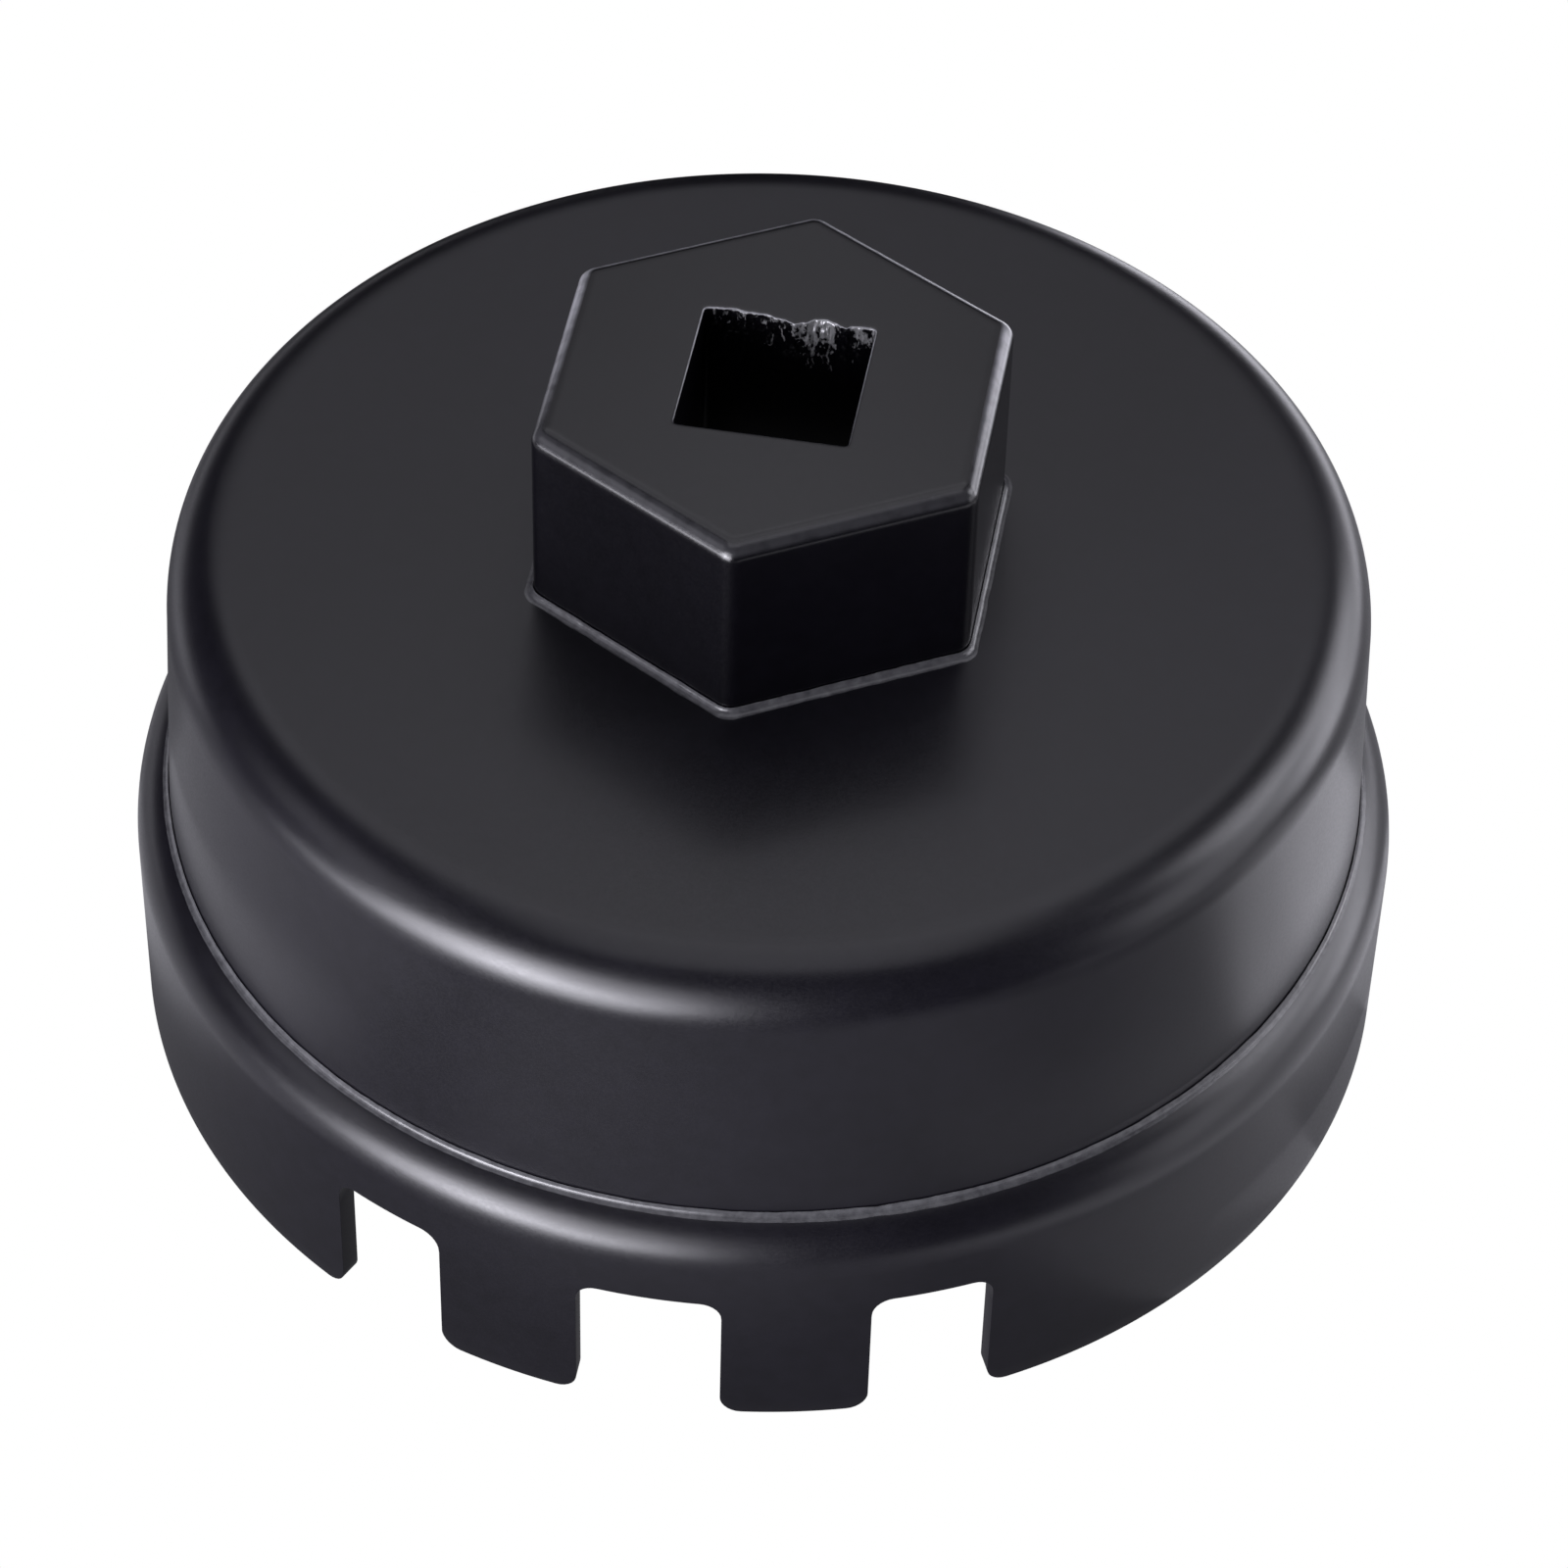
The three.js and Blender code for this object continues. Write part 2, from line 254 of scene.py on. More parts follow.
def arithmetic(tree, operation, first, second):
    """A Math node; each input is a socket or a number."""
    node = add_node(tree, "ShaderNodeMath", operation=operation)
    for slot, value in enumerate((first, second)):
        if isinstance(value, (int, float)):
            node.inputs[slot].default_value = value
        else:
            tree.links.new(value, node.inputs[slot])
    return node.outputs[0]


def product(tree, *factors):
    """Multiplies sockets and numbers together."""
    result = factors[0]
    for factor in factors[1:]:
        result = arithmetic(tree, "MULTIPLY", result, factor)
    return result


def colour_mix(tree, factor, first, second):
    """Mixes two colours, each a socket or an RGB triple, by a factor."""
    node = add_node(tree, "ShaderNodeMix", data_type="RGBA")
    tree.links.new(factor, node.inputs["Factor"])
    for name, value in (("A", first), ("B", second)):
        socket = [s for s in node.inputs if s.name == name and s.type == "RGBA"][0]
        if isinstance(value, bpy.types.NodeSocket):
            tree.links.new(value, socket)
        else:
            socket.default_value = (*value, 1.0)
    return [s for s in node.outputs if s.type == "RGBA"][0]


def bump_chain(tree, shader, layers):
    """Stacks bump layers of (height socket, strength, depth) on the shader's normal."""
    normal = None
    for height, strength, depth in layers:
        bump = add_node(
            tree, "ShaderNodeBump", {"Strength": strength, "Distance": depth})
        tree.links.new(height, bump.inputs["Height"])
        if normal:
            tree.links.new(normal, bump.inputs["Normal"])
        normal = bump.outputs["Normal"]
    tree.links.new(normal, shader.inputs["Normal"])


COAT_SHINE = 0.5


def coating(name, finish, gloss_shift=0.0, shade_scale=1.0, peel=1.0):
    """Satin black coating: two close tones, fine grain and a faint orange peel."""
    material, tree, shader = new_material(name)
    place = add_node(tree, "ShaderNodeTexCoord").outputs["Object"]
    clouds = noise_field(tree, place, 14 * MM, 4.0)
    mottle = noise_field(tree, place, 1.1 * MM, 3.0)
    grain = noise_field(tree, place, finish.grain, 2.0)
    peel_height = noise_field(tree, place, 0.9 * MM, 2.0)
    # This factor darkens both coating colours; below 1 it is painted shade.
    dark = [channel * shade_scale for channel in finish.coat_dark]
    light = [channel * shade_scale for channel in finish.coat_light]
    blend = arithmetic(
        tree, "ADD",
        remap(tree, clouds, 0.3, 0.7, 0.0, 0.6),
        remap(tree, mottle, 0.35, 0.65, 0.0, 0.4))
    tree.links.new(colour_mix(tree, blend, dark, light), shader.inputs["Base Color"])
    rough = finish.roughness + gloss_shift
    patchy = remap(tree, clouds, 0.3, 0.7, rough - 0.015, rough + 0.015)
    grainy = remap(tree, grain, 0.3, 0.7, -0.03, 0.03)
    tree.links.new(arithmetic(tree, "ADD", patchy, grainy), shader.inputs["Roughness"])
    shader.inputs["Metallic"].default_value = 0.0
    shader.inputs["Specular IOR Level"].default_value = COAT_SHINE
    bump_chain(tree, shader, [
        (peel_height, 0.10 * peel, 0.02 * MM),
        (grain, 0.16 * peel, 0.012 * MM),
    ])
    return material, tree, shader


def brazed(name, finish):
    """Braze bead under a thin coating: speckled, glossier, with small ripples, and lighter, partly
    as painted sheen.
    """
    material, tree, shader = coating(name, finish, gloss_shift=-0.09, peel=1.2)
    place = add_node(tree, "ShaderNodeTexCoord").outputs["Object"]
    speckle = noise_field(tree, place, 0.50 * MM, 3.0)
    share = remap(tree, speckle, 0.25, 0.75, 0.35, 0.95)
    # Speckled mix towards the lighter braze colour: braze under thin coating, partly painted sheen.
    tree.links.new(
        colour_mix(tree, share, tuple(finish.coat_light), tuple(finish.bead)),
        shader.inputs["Base Color"])
    return material


# share of bare metal along the torn wall, from its -X end to its +X end
TORN_SHARE = (
    (0.0, 0.0), (0.17, 0.0), (0.24, 0.35), (0.30, 0.1), (0.36, 0.55), (0.45, 0.3),
    (0.55, 0.45), (0.63, 1.0), (0.75, 1.0), (0.79, 0.1), (0.83, 0.0), (0.87, 0.7), (1.0, 0.5))
TORN_GAIN = 0.42
TORN_OFFSET = 0.11
TORN_METALLIC = 0.7
TORN_ROUGHER = 0.12
HOLE_SHINE = 0.12


def torn_mask(tree, place, axes, patches, wall, top):
    """Streaks of bare metal on the far wall of the drive hole, fading downwards."""
    across, along, up = axes
    zone = remap(tree, along, wall - 0.65 * MM, wall - 0.5 * MM, 0.0, 1.0)
    for value, start, end in (
            (along, wall + 0.55 * MM, wall + 0.45 * MM),
            (across, wall + 0.35 * MM, wall + 0.15 * MM),
            (across, -wall - 0.35 * MM, -wall - 0.15 * MM),
            (up, top - 0.01 * MM, top - 0.03 * MM)):
        zone = product(tree, zone, remap(tree, value, start, end, 0.0, 1.0))
    share = add_node(tree, "ShaderNodeValToRGB")
    elements = share.color_ramp.elements
    elements[0].position, elements[1].position = 0.0, 1.0
    for spot, _ in TORN_SHARE[1:-1]:
        elements.new(spot)
    for element, (_, level) in zip(elements, TORN_SHARE):
        element.color = (level, level, level, 1.0)
    tree.links.new(remap(tree, across, -wall, wall, 0.0, 1.0), share.inputs["Fac"])
    stretch = add_node(tree, "ShaderNodeMapping")
    stretch.inputs["Scale"].default_value = (1.0, 1.0, 0.45)
    tree.links.new(place, stretch.inputs["Vector"])
    streaks = noise_field(tree, stretch.outputs["Vector"], 0.30 * MM, 4.0, 0.5)
    depth = remap(tree, up, top - 5 * MM, top, 0.62, 0.0)
    level = arithmetic(tree, "SUBTRACT", streaks, depth)
    level = arithmetic(tree, "ADD", level, product(tree, share.outputs["Color"], TORN_GAIN))
    level = arithmetic(tree, "SUBTRACT", level, TORN_OFFSET)
    level = arithmetic(tree, "ADD", level, remap(tree, patches, 0.3, 0.7, -0.1, 0.1))
    return product(tree, remap(tree, level, 0.50, 0.70, 0.0, 1.0), zone)


def painted_edge_highlight_mask(tree, axes, patches, top, painted_highlight_front):
    """Painted highlight on the rounded edge round the top face, weaker at the front, broken up by
    noise.
    """
    facing = add_node(tree, "ShaderNodeSeparateXYZ")
    tree.links.new(
        add_node(tree, "ShaderNodeTexCoord").outputs["Normal"], facing.inputs[0])
    lean = facing.outputs[2]
    return product(
        tree,
        remap(tree, lean, 0.30, 0.55, 0.0, 1.0),
        remap(tree, lean, 0.97, 0.88, 0.0, 1.0),
        remap(tree, axes[2], top - 1.1 * MM, top - 1.0 * MM, 0.0, 1.0),
        # painted highlight graded by position: weaker at the front (-Y), full towards the back
        remap(tree, axes[1], -7 * MM, 5 * MM, painted_highlight_front, 1.0),
        remap(tree, patches, 0.25, 0.55, 0.55, 1.0))


def hole_mask(tree, axes, wall, top):
    """Everything inside the drive hole below its lip."""
    mask = remap(tree, axes[2], top - 0.5 * MM, top - 0.3 * MM, 1.0, 0.0)
    for axis, edge in ((axes[0], wall + 0.3 * MM), (axes[1], wall + 0.9 * MM)):
        size = arithmetic(tree, "ABSOLUTE", axis, 0.0)
        mask = product(tree, mask, remap(tree, size, edge, edge + 0.1 * MM, 1.0, 0.0))
    return mask


def torn_hex(name, finish, hexagon):
    """The coating, darkened as painted shade, with a painted highlight on its upper edges, dull in
    the drive hole and torn on its far wall.
    """
    # Painted shade: the boss's coating colours are darkened to 0.4 so that its flats come out
    # darker.
    material, tree, shader = coating(name, finish, gloss_shift=-0.09, shade_scale=0.4)
    place = [n for n in tree.nodes if n.type == "TEX_COORD"][0].outputs["Object"]
    split = add_node(tree, "ShaderNodeSeparateXYZ")
    tree.links.new(place, split.inputs[0])
    axes = tuple(split.outputs)
    wall, top = hexagon.square / 2, HEX_HIGH.z
    patches = noise_field(tree, place, 0.9 * MM, 2.0)
    torn = torn_mask(tree, place, axes, patches, wall, top)
    painted_edge_highlight = painted_edge_highlight_mask(tree, axes, patches, top, finish.painted_highlight_front)
    hole = hole_mask(tree, axes, wall, top)
    coat_colour = shader.inputs["Base Color"].links[0].from_socket
    coat_rough = shader.inputs["Roughness"].links[0].from_socket
    # Painted highlight: mix the lighter edge colour into the coating along the top edge, more
    # towards the back.
    edge_highlighted_coat = colour_mix(tree, painted_edge_highlight, coat_colour, tuple(finish.painted_edge_highlight))
    rougher = arithmetic(tree, "ADD", coat_rough, product(tree, torn, TORN_ROUGHER))
    for source, socket in (
            (colour_mix(tree, torn, edge_highlighted_coat, tuple(finish.bare)), "Base Color"),
            (remap(tree, hole, 0.0, 1.0, COAT_SHINE, HOLE_SHINE), "Specular IOR Level"),
            (product(tree, torn, TORN_METALLIC), "Metallic"),
            (rougher, "Roughness")):
        tree.links.new(source, shader.inputs[socket])
    return material


def bare_metal(name, finish):
    """Bright torn steel crumbs."""
    material, tree, shader = new_material(name)
    place = add_node(tree, "ShaderNodeTexCoord").outputs["Object"]
    tarnish = noise_field(tree, place, 0.5 * MM, 3.0)
    fine = noise_field(tree, place, 0.06 * MM, 2.0)
    dark = [channel * 0.12 for channel in finish.bare]
    shade = remap(tree, tarnish, 0.4, 0.62, 0.0, 1.0)
    tree.links.new(
        colour_mix(tree, shade, dark, tuple(finish.bare)), shader.inputs["Base Color"])
    shader.inputs["Metallic"].default_value = 1.0
    tree.links.new(remap(tree, fine, 0.3, 0.7, 0.3, 0.5), shader.inputs["Roughness"])
    bump_chain(tree, shader, [(fine, 0.3, 0.02 * MM)])
    return material


def studio_floor(name):
    """Pale lit floor, seen from above only, so that the underside can be looked at."""
    material = bpy.data.materials.new(name)
    material.use_nodes = True
    tree = material.node_tree
    tree.nodes.clear()
    out = add_node(tree, "ShaderNodeOutputMaterial")
    glow = add_node(tree, "ShaderNodeEmission", {"Strength": 1.0})
    glow.inputs["Color"].default_value = (1.0, 1.0, 1.0, 1.0)
    clear = add_node(tree, "ShaderNodeBsdfTransparent")
    facing = add_node(tree, "ShaderNodeNewGeometry")
    mix = add_node(tree, "ShaderNodeMixShader")
    tree.links.new(facing.outputs["Backfacing"], mix.inputs["Fac"])
    tree.links.new(glow.outputs[0], mix.inputs[1])
    tree.links.new(clear.outputs[0], mix.inputs[2])
    tree.links.new(mix.outputs[0], out.inputs["Surface"])
    return material


# ---------------------------------------------------------------- mesh helpers


def polar(radius, angle, z):
    """A point at this radius, angle and height."""
    return Vector((radius * math.cos(angle), radius * math.sin(angle), z))


def arc(centre_r, centre_z, radius, start, end, steps):
    """Section points (radius, z) along an arc between two angles in degrees."""
    points = []
    for i in range(steps + 1):
        angle = math.radians(start + (end - start) * i / steps)
        points.append((centre_r + radius * math.cos(angle), centre_z + radius * math.sin(angle)))
    return points


def spread(start, end, steps):
    """Evenly spaced numbers from start to end, both included."""
    return [start + (end - start) * i / steps for i in range(steps + 1)]


def polygon_reach(angle, flat_distance, corner, sides):
    """Distance from the axis to a rounded polygon that has a flat facing angle 0."""
    step = 2 * math.pi / sides
    off = abs((angle + step / 2) % step - step / 2)
    to_corner = step / 2 - off
    centre = (flat_distance - corner) / math.cos(step / 2)
    if centre * math.sin(to_corner) < corner * math.sin(step / 2):
        side = centre * math.sin(to_corner)
        return centre * math.cos(to_corner) + math.sqrt(corner * corner - side * side)
    return flat_distance / math.cos(off)


def grid_mesh(name, rows, close_rows, close_columns):
    """Joins equal rows of points into a sheet of quads, closed where asked."""
    mesh = bpy.data.meshes.new(name)
    width = len(rows[0])
    points = [point for row in rows for point in row]
    row_count = len(rows) if close_rows else len(rows) - 1
    column_count = width if close_columns else width - 1
    faces = []
    for i in range(row_count):
        below = i * width
        above = ((i + 1) % len(rows)) * width
        for j in range(column_count):
            k = (j + 1) % width
            faces.append((below + j, below + k, above + k, above + j))
    mesh.from_pydata(points, [], faces)
    mesh.update()
    return mesh


def tidy_mesh(mesh, smooth_angle):
    """Merges doubles, turns the faces of a closed mesh outwards and smooths it."""
    work = bmesh.new()
    work.from_mesh(mesh)
    bmesh.ops.remove_doubles(work, verts=work.verts, dist=1e-7)
    bmesh.ops.dissolve_degenerate(work, dist=1e-7, edges=work.edges)
    bmesh.ops.recalc_face_normals(work, faces=work.faces)
    if work.calc_volume(signed=True) < 0:
        bmesh.ops.reverse_faces(work, faces=work.faces)
    for face in work.faces:
        face.smooth = True
    work.to_mesh(mesh)
    work.free()
    mesh.set_sharp_from_angle(angle=math.radians(smooth_angle))
    mesh.update()


def add_piece(name, mesh, material, smooth_angle=40.0):
    """Links a finished mesh as an object at the origin."""
    tidy_mesh(mesh, smooth_angle)
    mesh.materials.clear()
    mesh.materials.append(material)
    piece = bpy.data.objects.new(name, mesh)
    bpy.context.scene.collection.objects.link(piece)
    return piece


def settle(piece, name):
    """Turns an object's evaluated result into a plain mesh and removes the object."""
    depsgraph = bpy.context.evaluated_depsgraph_get()
    mesh = bpy.data.meshes.new_from_object(piece.evaluated_get(depsgraph))
    mesh.name = name
    bpy.data.objects.remove(piece)
    return mesh


def attach(piece, node):
    """The piece stands for a CAD node: it rides on the body and the CAD node is hidden."""
    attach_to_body(piece, BODY)
    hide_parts(node)


# ---------------------------------------------------------------- node trees


def new_tree(name, sockets):
    """A geometry node tree with a Geometry input and output and the named inputs."""
    tree = bpy.data.node_groups.new(name, "GeometryNodeTree")
    tree.interface.new_socket("Geometry", in_out="INPUT", socket_type="NodeSocketGeometry")
    for label, kind in sockets:
        tree.interface.new_socket(label, in_out="INPUT", socket_type=kind)
    tree.interface.new_socket("Geometry", in_out="OUTPUT", socket_type="NodeSocketGeometry")
    return tree, add_node(tree, "NodeGroupInput"), add_node(tree, "NodeGroupOutput")


def link_all(tree, *pairs):
    """Links each (output socket, input socket) pair."""
    for source, target in pairs:
        tree.links.new(source, target)


def close_tree(tree, given, out, instances):
    """Ends a tree in Realize Instances and Set Material."""
    real = add_node(tree, "GeometryNodeRealizeInstances")
    finish = add_node(tree, "GeometryNodeSetMaterial")
    link_all(
        tree,
        (instances, real.inputs["Geometry"]),
        (real.outputs["Geometry"], finish.inputs["Geometry"]),
        (given.outputs["Material"], finish.inputs["Material"]),
        (finish.outputs["Geometry"], out.inputs["Geometry"]),
    )


def sector_tree():
    """Repeats one sector of a round piece about the Z axis."""
    tree, given, out = new_tree("Sector round the axis", [
        ("Count", "NodeSocketInt"),
        ("Start angle", "NodeSocketFloat"),
        ("Material", "NodeSocketMaterial"),
    ])
    line = add_node(tree, "GeometryNodeMeshLine")
    line.inputs["Offset"].default_value = (0.0, 0.0, 0.0)
    place = add_node(tree, "GeometryNodeInstanceOnPoints")
    index = add_node(tree, "GeometryNodeInputIndex")
    step = add_node(tree, "ShaderNodeMath", operation="DIVIDE")
    step.inputs[0].default_value = 2 * math.pi
    turn = add_node(tree, "ShaderNodeMath", operation="MULTIPLY_ADD")
    spin = add_node(tree, "ShaderNodeCombineXYZ")
    link_all(
        tree,
        (given.outputs["Count"], line.inputs["Count"]),
        (given.outputs["Count"], step.inputs[1]),
        (index.outputs[0], turn.inputs[0]),
        (step.outputs[0], turn.inputs[1]),
        (given.outputs["Start angle"], turn.inputs[2]),
        (turn.outputs[0], spin.inputs["Z"]),
        (line.outputs["Mesh"], place.inputs["Points"]),
        (given.outputs["Geometry"], place.inputs["Instance"]),
        (spin.outputs[0], place.inputs["Rotation"]),
    )
    close_tree(tree, given, out, place.outputs["Instances"])
    return tree


def crumb_tree():
    """Scatters small faceted crumbs over a patch."""
    tree, given, out = new_tree("Torn crumbs on a patch", [
        ("Density", "NodeSocketFloat"),
        ("Largest radius", "NodeSocketFloat"),
        ("Seed", "NodeSocketInt"),
        ("Material", "NodeSocketMaterial"),
    ])
    scatter = add_node(tree, "GeometryNodeDistributePointsOnFaces")
    crumb = add_node(tree, "GeometryNodeMeshIcoSphere", {"Subdivisions": 1})
    place = add_node(tree, "GeometryNodeInstanceOnPoints")
    turn = add_node(tree, "FunctionNodeRandomValue", data_type="FLOAT_VECTOR")
    turn.inputs[1].default_value = (6.28, 6.28, 6.28)
    size = add_node(tree, "FunctionNodeRandomValue", data_type="FLOAT_VECTOR")
    size.inputs[0].default_value = (0.25, 0.25, 0.2)
    size.inputs[1].default_value = (1.0, 0.9, 0.7)
    shape = add_node(tree, "ShaderNodeVectorMath", operation="SCALE")
    link_all(
        tree,
        (given.outputs["Geometry"], scatter.inputs["Mesh"]),
        (given.outputs["Density"], scatter.inputs["Density"]),
        (given.outputs["Seed"], scatter.inputs["Seed"]),
        (given.outputs["Seed"], turn.inputs["Seed"]),
        (given.outputs["Seed"], size.inputs["Seed"]),
        (scatter.outputs["Points"], place.inputs["Points"]),
        (crumb.outputs["Mesh"], place.inputs["Instance"]),
        (turn.outputs[0], place.inputs["Rotation"]),
        (size.outputs[0], shape.inputs[0]),
        (given.outputs["Largest radius"], shape.inputs["Scale"]),
        (shape.outputs[0], place.inputs["Scale"]),
    )
    close_tree(tree, given, out, place.outputs["Instances"])
    return tree


def run_tree(mesh, name, tree, values):
    """Runs a node tree on a mesh and gives back the resulting plain mesh."""
    carrier = bpy.data.objects.new(name, mesh)
    bpy.context.scene.collection.objects.link(carrier)
    modifier = carrier.modifiers.new("Nodes", "NODES")
    modifier.node_group = tree
    for item in tree.interface.items_tree:
        if item.item_type == "SOCKET" and item.in_out == "INPUT" and item.name in values:
            modifier[item.identifier] = values[item.name]
    return settle(carrier, name)


# ---------------------------------------------------------------- pieces


def drum_sector(drum):
    """One flute's share of the drum, as a closed section swept over its angle."""
    half = math.pi / drum.flute_count
    near = math.radians(0.66)
    columns = spread(-half, -half + near, 3)[:-1]
    columns += spread(-half + near, half - near, 22)
    columns += spread(half - near, half, 3)[1:]
    flat = drum.across_flutes / 2
    foot, crown = DRUM_LOW.z, DRUM_HIGH.z
    pocket_top = crown - drum.crown_thickness
    hole = bpy.context.scene.wrench_hex.spigot_radius + 0.05 * MM
    corner_r = drum.top_radius - drum.crown_corner
    corner_z = crown - drum.crown_corner
    crease = SKIRT_HIGH.z
    outside = [(radius, crown) for radius in spread(hole, corner_r - 0.3 * MM, 14)]
    outside += arc(corner_r, corner_z, drum.crown_corner, 90, 0, 24)
    for share in spread(0.08, 1.0, 8):
        radius = drum.top_radius + (drum.foot_radius - drum.top_radius) * share
        outside.append((radius, corner_z + (crease + 0.1 * MM - corner_z) * share))
    outside += [
        (drum.foot_radius, crease - 0.6 * MM),
        (drum.foot_radius, foot + 0.5 * MM),
        (drum.foot_radius, foot + 0.4 * MM),
        (drum.foot_radius - 0.4 * MM, foot),
    ]
    rows = [[polar(radius, a, z) for a in columns] for radius, z in outside]
    reach = [polygon_reach(a, flat, drum.flute_corner, drum.flute_count) for a in columns]
    widest = max(reach)
    for step, opening in ((0.0, widest), (0.25, widest - 0.12 * MM), (1.0, 0.0)):
        z = foot + step * MM
        rows.append([polar(max(r, opening), a, z) for r, a in zip(reach, columns)])
    for z in spread(foot + 1.3 * MM, drum.flute_top, 10):
        rows.append([polar(r, a, z) for r, a in zip(reach, columns)])
    inside = [(flat - 0.5 * MM, drum.flute_top)]
    inside += [(flat - 1.0 * MM, drum.flute_top + 0.6 * MM)]
    inside += [(drum.pocket_radius, pocket_top)]
    inside += [(radius, pocket_top) for radius in spread(drum.pocket_radius - 0.4 * MM, hole, 8)]
    rows += [[polar(radius, a, z) for a in columns] for radius, z in inside]
    return grid_mesh("drum_sector", rows, close_rows=True, close_columns=False)


def skirt_columns(skirt):
    """Columns over one group's sector: (outer angle, inner angle, lower edge, kind)."""
    outer, inner = skirt.radius, skirt.radius - skirt.wall
    corner, top = skirt.corner, skirt.notch_height
    half_sector = math.pi / skirt.groups
    widths = (skirt.side_width, skirt.middle_width, skirt.side_width)
    flanks = []
    for place, width in zip((-1, 0, 1), widths):
        flanks += [(place * skirt.pitch, -width / 2), (place * skirt.pitch, width / 2)]

    def angles(centre, offset):
        return [centre + math.asin(offset / radius) for radius in (outer, inner)]

    def tooth(start, end, start_corner, end_corner):
        """Columns of one tooth between two (centre, offset) flanks or plain ends."""
        a, b = start, end
        found = []
        turns = spread(0, math.pi / 2, 7)
        width = (b[0] - a[0]) * outer
        steps = max(6, round((width - 2 * corner) / (0.62 * MM)))
        shares = []
        if start_corner:
            shares += [(corner * (1 - math.cos(t)) / width, corner * (1 - math.sin(t)))
                       for t in turns[:-1]]
        low = corner / width if start_corner else 0.0
        high = 1 - corner / width if end_corner else 1.0
        shares += [(s, 0.0) for s in spread(low, high, steps)]
        if end_corner:
            shares += [(1 - corner * (1 - math.cos(t)) / width, corner * (1 - math.sin(t)))
                       for t in reversed(turns[:-1])]
        for share, lower in shares:
            found.append((a[0] + (b[0] - a[0]) * share, a[1] + (b[1] - a[1]) * share, lower))
        return found

    def notch(centre, width):
        """Columns of one notch: its lower edge is the notch's rounded top."""
        turns = spread(0, math.pi / 2, 7)
        half = width / 2
        marks = [(corner * (1 - math.cos(t)) - half, top - corner * (1 - math.sin(t)))
                 for t in turns]
        marks += [(x, top) for x in spread(corner - half, half - corner, 9)[1:-1]]
        marks += [(half - corner * (1 - math.cos(t)), top - corner * (1 - math.sin(t)))
                  for t in reversed(turns)]
        return [(*angles(centre, x), lower) for x, lower in marks]

    edges = [(-half_sector, -half_sector)]
    edges += [tuple(angles(centre, offset)) for centre, offset in flanks]
    edges += [(half_sector, half_sector)]
    runs = []
    for i in range(0, len(edges) - 1, 2):
        runs.append(("tooth", tooth(edges[i], edges[i + 1], i > 0, i + 2 < len(edges))))
        if i // 2 < 3:
            runs.append(("notch", notch(flanks[i][0], widths[i // 2])))
    return runs


def skirt_sector(skirt):
    """One group's sector of the collar: outer and inner skin, rim edge and lap edge."""
    inner_radius = skirt.radius - skirt.wall
    split = skirt.notch_height - skirt.corner
    shelf = skirt.notch_height + 1.1 * MM
    centre_r = skirt.radius - skirt.bend_radius
    lap = LAP_RADIUS - centre_r
    inner_bend = skirt.bend_radius - skirt.wall
    outer_end = math.degrees(math.acos(lap / skirt.bend_radius))
    inner_end = math.degrees(math.acos(lap / inner_bend))
    outer_arc = arc(centre_r, skirt.bend_height, skirt.bend_radius, 0, outer_end, 16)
    inner_arc = arc(centre_r, skirt.bend_height, inner_bend, 0, inner_end, 10)
    mesh = bpy.data.meshes.new("skirt_sector")
    work = bmesh.new()

    def skin(runs, side, top_rows):
        """Builds one skin; gives back its rim loop and its top row."""
        radius = (skirt.radius, inner_radius)[side]
        rim, top = [], []
        for place, (kind, columns) in enumerate(runs):
            strips = []
            for outer_angle, inner_angle, lower in columns:
                angle = (outer_angle, inner_angle)[side]
                heights = []
                if kind == "tooth":
                    heights += spread(lower, split, 8)[:-1]
                    heights += spread(split, shelf, 5)
                else:
                    heights += spread(max(lower, split), shelf, 5)
                line = [work.verts.new(polar(radius, angle, z)) for z in heights]
                line += [work.verts.new(polar(r, angle, z)) for r, z in top_rows]
                strips.append(line)
            for left, right in zip(strips, strips[1:]):
                for i in range(len(left) - 1):
                    work.faces.new((left[i], right[i], right[i + 1], left[i + 1]))
            if kind == "tooth" and place > 0:
                rim += reversed(strips[0][1:9])
            rim += [line[0] for line in strips]
            if kind == "tooth" and place < len(runs) - 1:
                rim += strips[-1][1:9]
            top += [line[-1] for line in strips]
        return rim, top

    runs = skirt_columns(skirt)
    outer_rim, outer_top = skin(runs, 0, outer_arc)
    inner_rim, inner_top = skin(runs, 1, inner_arc)
    for first, second in ((outer_rim, inner_rim), (outer_top, inner_top)):
        for i in range(len(first) - 1):
            corners = (first[i], first[i + 1], second[i + 1], second[i])
            if (first[i].co - first[i + 1].co).length > 1e-8:
                work.faces.new(corners)
    bmesh.ops.remove_doubles(work, verts=work.verts, dist=1e-7)
    work.to_mesh(mesh)
    work.free()
    return mesh


def hex_columns():
    """Angles shared by the hexagon, the drive square and the spigot."""
    marks = set()
    for i in range(240):
        marks.add(round(i * 1.5, 3))
    for k in range(6):
        for off in (0.3, 0.7, 1.1, 1.6, 2.2, 2.9):
            marks.update((round(30 + 60 * k + off, 3), round(30 + 60 * k - off, 3)))
    for k in range(4):
        for off in (0.25, 0.6, 1.0, 1.6):
            marks.update((round(45 + 90 * k + off, 3), round(45 + 90 * k - off, 3)))
    for i in range(1, 220):
        marks.add(round(46.8 + i * 0.4, 3))
    ordered = sorted(mark % 360 for mark in marks)
    kept = [ordered[0]]
    for mark in ordered[1:]:
        if mark - kept[-1] > 0.12:
            kept.append(mark)
    return [math.radians(mark) for mark in kept]


